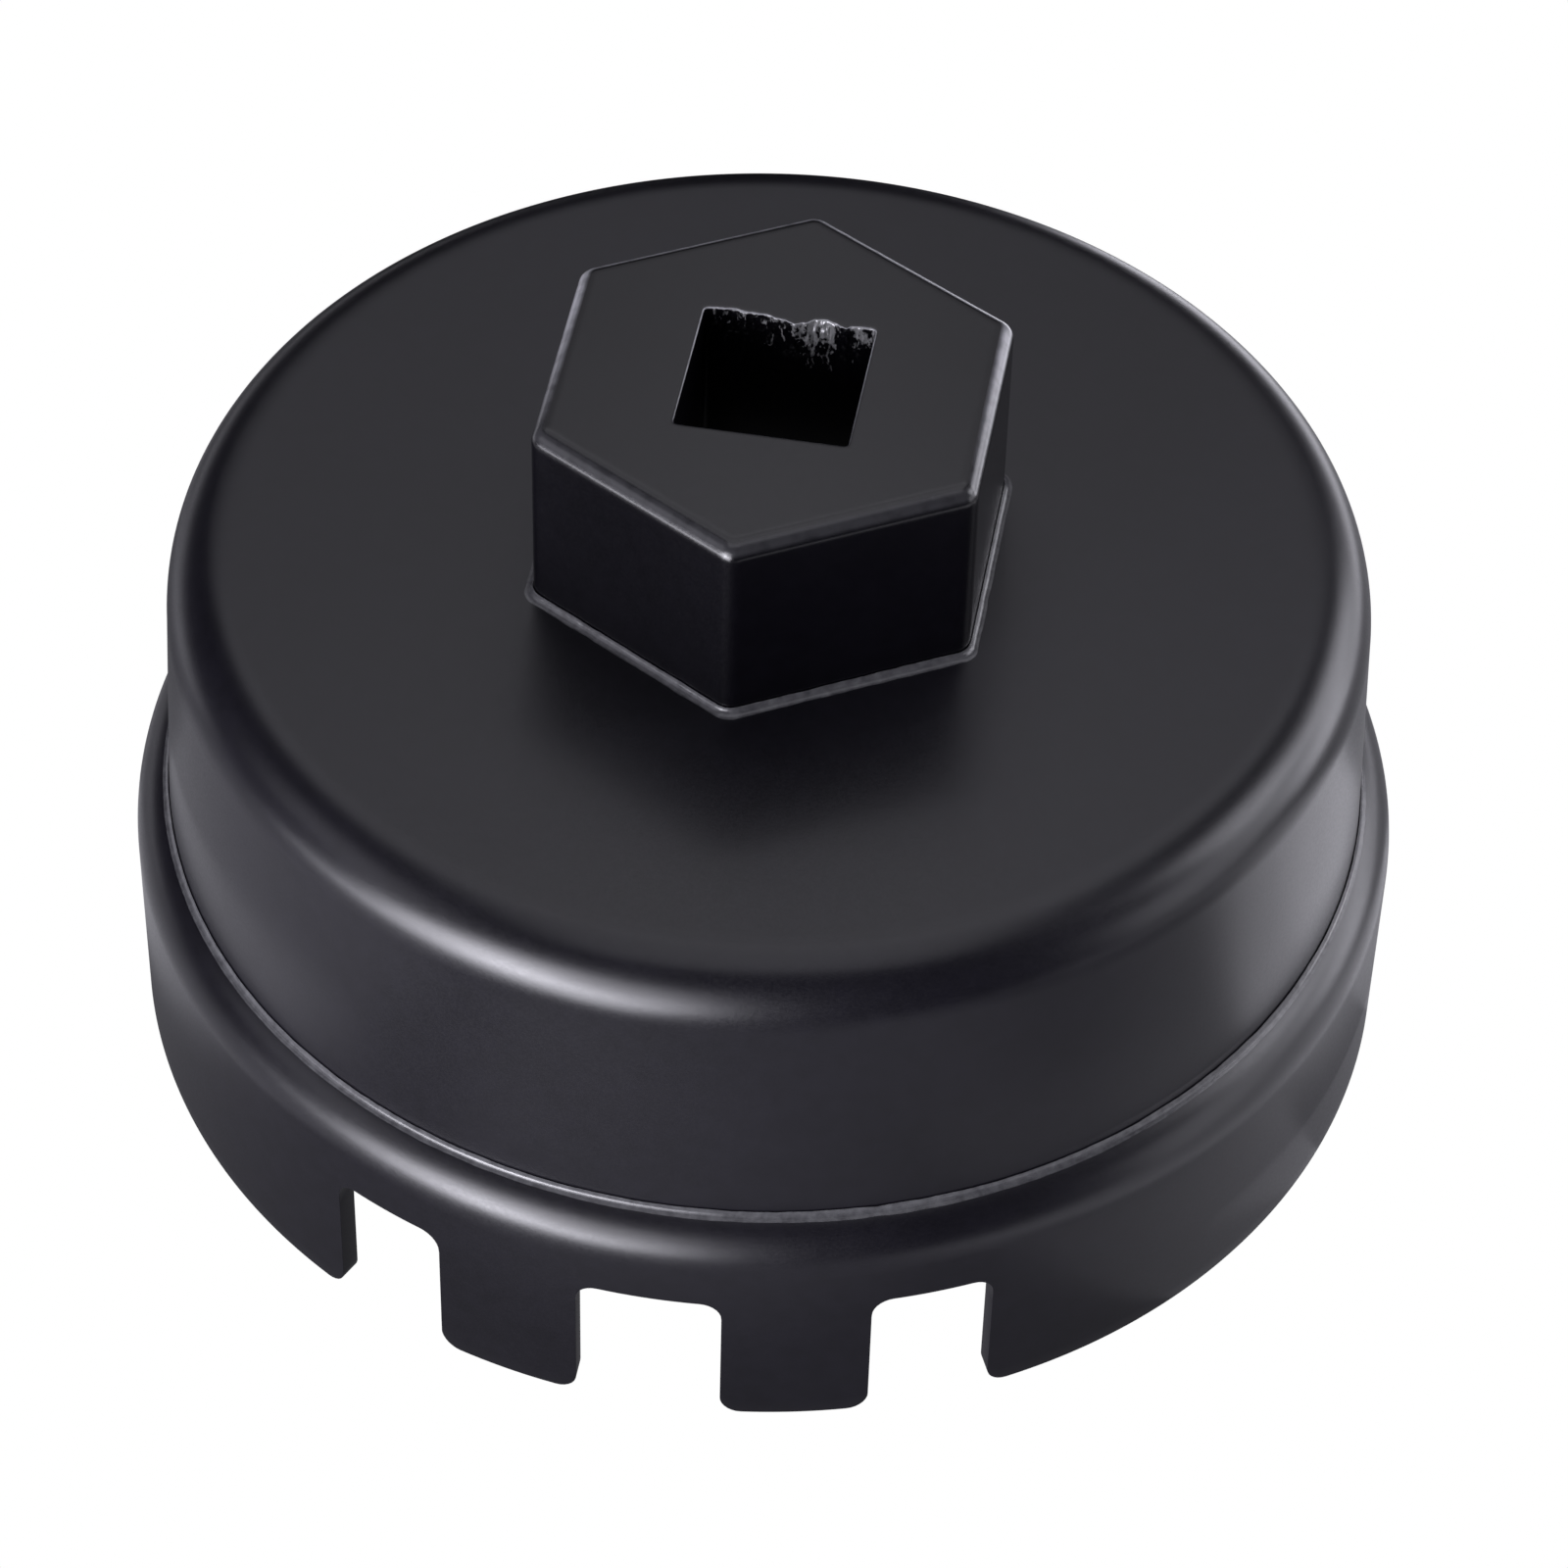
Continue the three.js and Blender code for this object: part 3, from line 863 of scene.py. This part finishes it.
TORN_LIP = (
    (-4.9, 0.0), (-4.0, 0.10), (-3.2, 0.17), (-2.3, 0.04), (-1.5, 0.02), (-0.7, -0.18),
    (0.4, -0.46), (0.9, -0.25), (1.4, 0.10), (1.95, 0.20), (2.5, 0.02), (2.85, -0.20),
    (3.15, -0.28), (3.5, -0.06), (4.2, 0.0), (4.9, -0.04))


def torn_lip(x):
    """How far the torn far edge of the drive hole lies outside the square, in metres."""
    place = x / MM
    value = 0.0
    for (x0, y0), (x1, y1) in zip(TORN_LIP, TORN_LIP[1:]):
        if x0 <= place <= x1:
            share = (place - x0) / (x1 - x0)
            value = y0 + (y1 - y0) * share * share * (3 - 2 * share)
    value += 0.045 * noise.noise(Vector((place * 3.1, 3.7, 1.3)))
    value += 0.025 * noise.noise(Vector((place * 8.3, 1.7, 4.3)))
    return value * MM


def torn_wall(x, depth, settings):
    """How far the torn far wall lies outside the square at this depth, in metres."""
    fade = max(0.0, 1 - depth / settings.tear_reach)
    place = Vector((x / MM * 2.1, depth / MM * 0.8, 7.1))
    rough = 0.6 * noise.noise(place) + 0.45 * noise.noise(place * 2.4)
    rough += 0.3 * noise.noise(place * 5.5)
    dents = settings.tear_depth * fade ** 1.4 * (rough + 0.12)
    grown = min(1.0, depth / (0.35 * MM))
    sunk = math.exp(-depth / (0.9 * MM))
    return torn_lip(x) * sunk + dents * grown


def hex_rows(settings, columns):
    """Closed section rows of the boss: outside, top face, drive hole and spigot."""
    flat = settings.across_flats / 2
    foot, top, end = DRUM_HIGH.z, HEX_HIGH.z, HEX_LOW.z
    rise = settings.top_round
    wall = settings.square / 2

    def hex_row(inset, z):
        corner = max(settings.corner - 0.8 * inset, 0.3 * MM)
        return [polar(polygon_reach(a, flat - inset, corner, 6), a, z) for a in columns]

    def round_row(radius, z):
        return [polar(radius, a, z) for a in columns]

    def square_row(growth, z):
        row = []
        for a in columns:
            corner = settings.square_corner + max(growth, 0.0)
            point = polar(polygon_reach(a, wall + growth, corner, 4), a, z)
            if point.y > 0.9 * wall:
                share = max(0.0, 1 - (abs(point.x) / (wall * 1.01)) ** 10)
                point.y += share * torn_wall(point.x, top - z, settings)
            row.append(point)
        return row

    rows = [hex_row(settings.foot_chamfer, foot), hex_row(0.0, foot + 0.45 * MM)]
    rows += [hex_row(0.0, z) for z in spread(foot + 0.6 * MM, top - rise - 0.15 * MM, 8)]
    for step in range(13):
        turn = math.radians(90 * step / 12)
        rows.append(hex_row(rise * (1 - math.cos(turn)), top - rise * (1 - math.sin(turn))))
    rows.append(hex_row(rise + 0.15 * MM, top))
    outer_row = hex_row(rise + 0.35 * MM, top)
    rows.append(outer_row)
    inner_row = square_row(settings.lip + 0.12 * MM, top)
    for share in spread(0.0, 1.0, 7)[1:-1]:
        rows.append([a.lerp(b, share) for a, b in zip(outer_row, inner_row)])
    rows.append(inner_row)
    for step in range(6):
        turn = math.radians(90 * step / 5)
        rows.append(square_row(
            settings.lip * (1 - math.sin(turn)), top - settings.lip * (1 - math.cos(turn))))
    for depth in spread(settings.lip + 0.07 * MM, 2.6 * MM, 30):
        rows.append(square_row(0.0, top - depth))
    for depth in spread(2.8 * MM, settings.tear_reach + 0.2 * MM, 14):
        rows.append(square_row(0.0, top - depth))
    for z in spread(top - 7.2 * MM, end + 0.3 * MM, 6):
        rows.append(square_row(0.0, z))
    rows.append(square_row(0.25 * MM, end))
    rows.append(round_row(settings.spigot_radius - 0.4 * MM, end))
    rows.append(round_row(settings.spigot_radius, end + 0.4 * MM))
    rows.append(round_row(settings.spigot_radius, end + 0.6 * MM))
    rows.append(round_row(settings.spigot_radius, foot))
    return rows


def lathe(name, section, steps, ripple=0.0, seed=0.0):
    """Revolves a closed section, with a slow ripple in its size where asked."""
    rows = []
    middle_r = sum(radius for radius, _ in section) / len(section)
    middle_z = sum(z for _, z in section) / len(section)
    angles = [2 * math.pi * i / steps for i in range(steps)]
    for radius, z in section:
        row = []
        for a in angles:
            place = Vector((math.cos(a) * middle_r, math.sin(a) * middle_r, seed * MM)) / MM
            swell = 1 + ripple * (noise.noise(place * 0.8) + 0.5 * noise.noise(place * 2.3) - 0.5)
            row.append(polar(
                middle_r + (radius - middle_r) * swell, a, middle_z + (z - middle_z) * swell))
        rows.append(row)
    return grid_mesh(name, rows, close_rows=True, close_columns=True)


class WRENCH_OT_drum(bpy.types.Operator):
    """Build the drum from one sector per flute"""

    bl_idname = "wrench.drum"
    bl_label = "Build drum"

    def execute(self, context):
        drum = context.scene.wrench_drum
        material, _, _ = coating("Satin black drum", context.scene.wrench_finish)
        sector = drum_sector(drum)
        start = math.pi / 2
        mesh = run_tree(sector, "drum", sector_tree(), {
            "Count": drum.flute_count, "Start angle": start, "Material": material})
        piece = add_piece("drum", mesh, material, 30.0)
        attach(piece, "drum_shell")
        return {"FINISHED"}


class WRENCH_OT_skirt(bpy.types.Operator):
    """Build the notched skirt collar from one sector per notch group"""

    bl_idname = "wrench.skirt"
    bl_label = "Build skirt collar"

    def execute(self, context):
        skirt = context.scene.wrench_skirt
        material, _, _ = coating("Satin black skirt", context.scene.wrench_finish)
        mesh = run_tree(skirt_sector(skirt), "skirt", sector_tree(), {
            "Count": skirt.groups, "Start angle": -math.pi / 2, "Material": material})
        rough = add_piece("skirt_rough", mesh, material, 40.0)
        bevel = rough.modifiers.new("Edge break", "BEVEL")
        bevel.width = skirt.edge
        bevel.segments = 3
        bevel.limit_method = "ANGLE"
        bevel.angle_limit = math.radians(50)
        bevel.use_clamp_overlap = True
        piece = add_piece("skirt", settle(rough, "skirt"), material, 50.0)
        attach(piece, "skirt_collar")
        return {"FINISHED"}


class WRENCH_OT_hex(bpy.types.Operator):
    """Build the hexagonal boss with its torn drive hole and spigot"""

    bl_idname = "wrench.hex"
    bl_label = "Build drive hexagon"

    def execute(self, context):
        settings = context.scene.wrench_hex
        material = torn_hex("Satin black hexagon", context.scene.wrench_finish, settings)
        rows = hex_rows(settings, hex_columns())
        mesh = grid_mesh("drive_hexagon", rows, close_rows=True, close_columns=True)
        piece = add_piece("drive_hexagon", mesh, material, 40.0)
        attach(piece, "drive_hex")
        return {"FINISHED"}


class WRENCH_OT_burrs(bpy.types.Operator):
    """Scatter torn metal crumbs on the far wall of the drive hole"""

    bl_idname = "wrench.burrs"
    bl_label = "Scatter burrs"

    def execute(self, context):
        settings = context.scene.wrench_hex
        material = bare_metal("Torn bare metal", context.scene.wrench_finish)
        wall = settings.square / 2
        rows = []
        for depth in spread(0.16 * MM, 2.2 * MM, 16):
            row = []
            for x in spread(0.5 * MM, 2.7 * MM, 20):
                row.append(Vector((x, wall + torn_wall(x, depth, settings), HEX_HIGH.z - depth)))
            rows.append(row)
        patch = grid_mesh("burr_patch", rows, close_rows=False, close_columns=False)
        mesh = run_tree(patch, "drive_hole_burrs", crumb_tree(), {
            "Density": settings.burr_density, "Largest radius": settings.burr_size,
            "Seed": 7, "Material": material})
        piece = add_piece("drive_hole_burrs", mesh, material, 20.0)
        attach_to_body(piece, BODY)
        return {"FINISHED"}


class WRENCH_OT_braze(bpy.types.Operator):
    """Build the braze beads at the crease, under the lap, at the foot and inside"""

    bl_idname = "wrench.braze"
    bl_label = "Build braze beads"

    def execute(self, context):
        material = brazed("Coated braze", context.scene.wrench_finish)
        skirt = context.scene.wrench_skirt
        hexagon = context.scene.wrench_hex
        centre_r = skirt.radius - skirt.bend_radius

        def bend_angle(reach, radius):
            return math.degrees(math.acos((reach - centre_r) / radius))

        def place_bead(mesh, node):
            attach(add_piece(mesh.name, mesh, material, 60.0), node)

        over = skirt.bend_radius + 0.02 * MM
        inner, outer = LAP_RADIUS, CREASE_HIGH.x
        crease = arc(centre_r, skirt.bend_height, over,
                     bend_angle(inner, over), bend_angle(outer, over), 4)
        top = CREASE_HIGH.z
        hollow = []
        for share in spread(0.12, 0.88, 5):
            straight_r = outer + (inner - outer) * share
            straight_z = crease[-1][1] + (top - crease[-1][1]) * share
            sag = 0.11 * MM * math.sin(math.pi * share)
            hollow.append((straight_r - sag * 0.75, straight_z - sag * 0.66))
        bead = lathe("crease_bead", crease + hollow + [(inner, top)], 360, 0.12, 1.0)
        place_bead(bead, "crease_braze_ring")

        under = skirt.bend_radius - skirt.wall - FIT_GAP
        lap = arc(centre_r, skirt.bend_height, under, bend_angle(inner, under), 0, 8)
        foot = (inner, lap[0][1] - 1.7 * MM)
        sagged = (inner + 0.45 * MM, (foot[1] + lap[-1][1]) / 2 + 0.25 * MM)
        bead = lathe("lap_bead", lap + [sagged, foot], 240, 0.06, 5.0)
        place_bead(bead, "lap_braze_ring")

        bore = hexagon.spigot_radius + FIT_GAP
        leg = 1.1 * MM
        hollow = arc(bore + leg, WASHER_LOW.z - leg, leg, 90, 180, 8)
        bead = lathe("spigot_bead", [(bore, WASHER_LOW.z)] + hollow, 180, 0.10, 9.0)
        place_bead(bead, "spigot_braze_ring")

        columns = hex_columns()
        flat = hexagon.across_flats / 2 + FIT_GAP
        leg = 0.45 * MM
        hollow = arc(flat + leg, DRUM_HIGH.z + leg, leg, -90, -180, 8)
        rows = []
        for reach, z in [(flat - hexagon.foot_chamfer, DRUM_HIGH.z)] + hollow:
            row = []
            for a in columns:
                place = Vector((math.cos(a) * 12, math.sin(a) * 12, 2.0))
                swell = 1 + 0.10 * (noise.noise(place * 0.9) + 0.6 * noise.noise(place * 2.8) - 0.6)
                grown = flat + (reach - flat) * (swell if reach > flat else 1.0)
                lift = DRUM_HIGH.z + (z - DRUM_HIGH.z) * swell
                row.append(polar(polygon_reach(a, grown, hexagon.corner, 6), a, lift))
            rows.append(row)
        bead = grid_mesh("foot_bead", rows, close_rows=True, close_columns=True)
        place_bead(bead, "hex_foot_braze")
        return {"FINISHED"}


class WRENCH_OT_washer(bpy.types.Operator):
    """Build the backing washer under the crown"""

    bl_idname = "wrench.washer"
    bl_label = "Build backing washer"

    def execute(self, context):
        settings = context.scene.wrench_hex
        material, _, _ = coating(
            "Satin black washer", context.scene.wrench_finish, gloss_shift=0.05)
        bore = settings.spigot_radius + FIT_GAP
        low, high, rim = WASHER_LOW.z, WASHER_HIGH.z, settings.washer_radius
        section = [(bore, low + 0.1 * MM), (bore + 0.1 * MM, low)]
        section += [(radius, low) for radius in spread(bore + 0.3 * MM, rim - 0.7 * MM, 4)]
        section += arc(rim - 0.4 * MM, low + 0.4 * MM, 0.4 * MM, -90, 0, 5)
        section += [(rim, high - 0.2 * MM), (rim - 0.15 * MM, high), (bore, high)]
        mesh = lathe("washer", section, 180)
        attach(add_piece("washer", mesh, material, 50.0), "backing_washer")
        return {"FINISHED"}


LIGHT_COLOUR = (0.98, 0.97, 1.06)
LIGHT_AIM = Vector((0.0, 0.0, 0.02))
LIGHT_DISTANCE = 0.6

# name, azimuth from the camera and elevation in degrees, width, height, glow
STUDIO_LIGHTS = [
    ("Front left key", -36, 2, 0.19, 0.19, 3.4),
    ("Front left key strip", -34, 1, 0.25, 0.08, 16.5),
    ("Front left key wide", -48, 6, 0.30, 0.20, 10.6),
    ("Front left key edge", -18, 2, 0.19, 0.19, 6.9),
    ("Front left upper", -40, 17, 0.21, 0.21, 6.7),
    ("Front upper", -20, 17, 0.21, 0.21, 3.9),
    ("Left side upper", -80, 32, 0.30, 0.25, 1.0),
    ("Right side low", 108, 2, 0.19, 0.19, 3.5),
    ("Right side front", 75, 8, 0.30, 0.30, 1.6),
    ("Right side", 120, 17, 0.21, 0.21, 3.1),
    ("Right side wide", 110, 15, 0.50, 0.35, 1.7),
    ("Right side upper", 96, 32, 0.23, 0.23, 4.0),
    ("Back left", 200, 40, 0.35, 0.30, 0.44),
    ("Back right", 160, 40, 0.35, 0.30, 0.44),
    ("Back upper", 180, 60, 0.60, 0.25, 0.88),
    ("Overhead", 0, 88, 0.50, 0.50, 1.02),
]

# name, azimuth from the camera in degrees, distance from the middle, width, glow
FLOOR_GLOWS = [
    ("Floor middle", 0, 0.0, 0.16, 0.17),
    ("Floor front", 0, 0.085, 0.08, 0.17),
    ("Floor front right", 45, 0.085, 0.08, 0.16),
    ("Floor right", 90, 0.075, 0.08, 0.15),
    ("Floor right wide", 60, 0.11, 0.12, 0.9),
    ("Floor left", -75, 0.085, 0.08, 0.45),
    ("Floor left wide", -90, 0.13, 0.16, 0.40),
    ("Floor back right", 120, 0.13, 0.16, 0.21),
    ("Floor far left", -45, 0.45, 0.50, 8.3),
    ("Floor far back right", 135, 0.45, 0.50, 3.0),
    ("Floor far back left", -135, 0.45, 0.50, 0.7),
]


def area_light(name, spot, facing, width, height, glow):
    """A soft rectangular light, not itself seen; glow is its brightness per unit of area."""
    data = bpy.data.lights.new(name, "AREA")
    data.shape = "RECTANGLE"
    data.size, data.size_y = width, height
    data.energy = glow * math.pi * width * height
    data.color = LIGHT_COLOUR
    light = bpy.data.objects.new(name, data)
    light.rotation_mode = "QUATERNION"
    light.location = spot
    light.rotation_quaternion = facing.to_track_quat("-Z", "Y")
    light.visible_camera = False
    bpy.context.scene.collection.objects.link(light)


class WRENCH_OT_stage(bpy.types.Operator):
    """Set up the pale floor, the soft studio lights and the camera"""

    bl_idname = "wrench.stage"
    bl_label = "Set up stage"

    def execute(self, context):
        scene = context.scene
        stage = scene.wrench_stage
        scene.view_settings.view_transform = "Standard"
        half = 6.0
        mesh = bpy.data.meshes.new("studio_floor")
        corners = [(-half, -half, 0), (half, -half, 0), (half, half, 0), (-half, half, 0)]
        mesh.from_pydata(corners, [], [(0, 1, 2, 3)])
        mesh.materials.append(studio_floor("Studio floor"))
        floor = bpy.data.objects.new("studio_floor", mesh)
        floor.location.z = CAD_BOX[0].z - 0.02 * MM
        floor.visible_glossy = False
        floor.visible_diffuse = False
        floor.visible_shadow = False
        scene.collection.objects.link(floor)

        world = bpy.data.worlds.new("Studio")
        world.use_nodes = True
        world.node_tree.nodes["Background"].inputs["Color"].default_value = (1, 1, 1, 1)
        scene.world = world
        world.cycles_visibility.glossy = False
        world.cycles_visibility.diffuse = False

        for name, azimuth, elevation, width, height, glow in STUDIO_LIGHTS:
            a, e = math.radians(azimuth) + stage.azimuth, math.radians(elevation)
            back = Vector((math.sin(a) * math.cos(e), -math.cos(a) * math.cos(e), math.sin(e)))
            area_light(name, LIGHT_AIM + back * LIGHT_DISTANCE, -back, width, height, glow)
        for name, azimuth, reach, width, glow in FLOOR_GLOWS:
            a = math.radians(azimuth) + stage.azimuth
            spot = Vector((math.sin(a) * reach, -math.cos(a) * reach, -1 * MM))
            area_light(name, spot, Vector((0.0, 0.0, 1.0)), width, width, glow)

        camera_data = bpy.data.cameras.new("Camera")
        camera_data.lens = stage.lens
        camera_data.sensor_width = 36.0
        camera_data.clip_start = 0.02
        camera = bpy.data.objects.new("Camera", camera_data)
        up = Vector((0.0, math.sin(stage.elevation), math.cos(stage.elevation)))
        forward = Vector((0.0, math.cos(stage.elevation), -math.sin(stage.elevation)))
        right = Vector((1.0, 0.0, 0.0))
        rolled_right = right * math.cos(stage.roll) + up * math.sin(stage.roll)
        rolled_up = up * math.cos(stage.roll) - right * math.sin(stage.roll)
        spot = Vector((stage.aim_side, 0.0, stage.aim_height)) - forward * stage.distance
        basis = Matrix((rolled_right, rolled_up, -forward)).transposed().to_4x4()
        camera.matrix_world = (
            Matrix.Rotation(stage.azimuth, 4, "Z") @ Matrix.Translation(spot) @ basis)
        scene.collection.objects.link(camera)
        scene.camera = camera
        return {"FINISHED"}


OPERATORS = [
    WRENCH_OT_drum,
    WRENCH_OT_skirt,
    WRENCH_OT_hex,
    WRENCH_OT_burrs,
    WRENCH_OT_braze,
    WRENCH_OT_washer,
    WRENCH_OT_stage,
]


class WRENCH_PT_panel(bpy.types.Panel):
    """Buttons and settings for the wrench"""

    bl_idname = "WRENCH_PT_panel"
    bl_label = "Oil Filter Wrench"
    bl_space_type = "VIEW_3D"
    bl_region_type = "UI"
    bl_category = "Wrench"

    def draw(self, context):
        for operator in OPERATORS:
            self.layout.operator(operator.bl_idname)
        for attribute, group in SETTINGS.items():
            box = self.layout.box()
            box.label(text=group.__doc__)
            for name in group.__annotations__:
                box.prop(getattr(context.scene, attribute), name)


CLASSES = [*SETTINGS.values(), *OPERATORS, WRENCH_PT_panel]


def register():
    for cls in CLASSES:
        bpy.utils.register_class(cls)
    for attribute, group in SETTINGS.items():
        setattr(bpy.types.Scene, attribute, PointerProperty(type=group))


def unregister():
    for attribute in SETTINGS:
        delattr(bpy.types.Scene, attribute)
    for cls in reversed(CLASSES):
        bpy.utils.unregister_class(cls)


def main():
    register()
    for operator in OPERATORS:
        name = operator.bl_idname.split(".")[1]
        getattr(bpy.ops.wrench, name)()


if __name__ == "__main__":
    main()
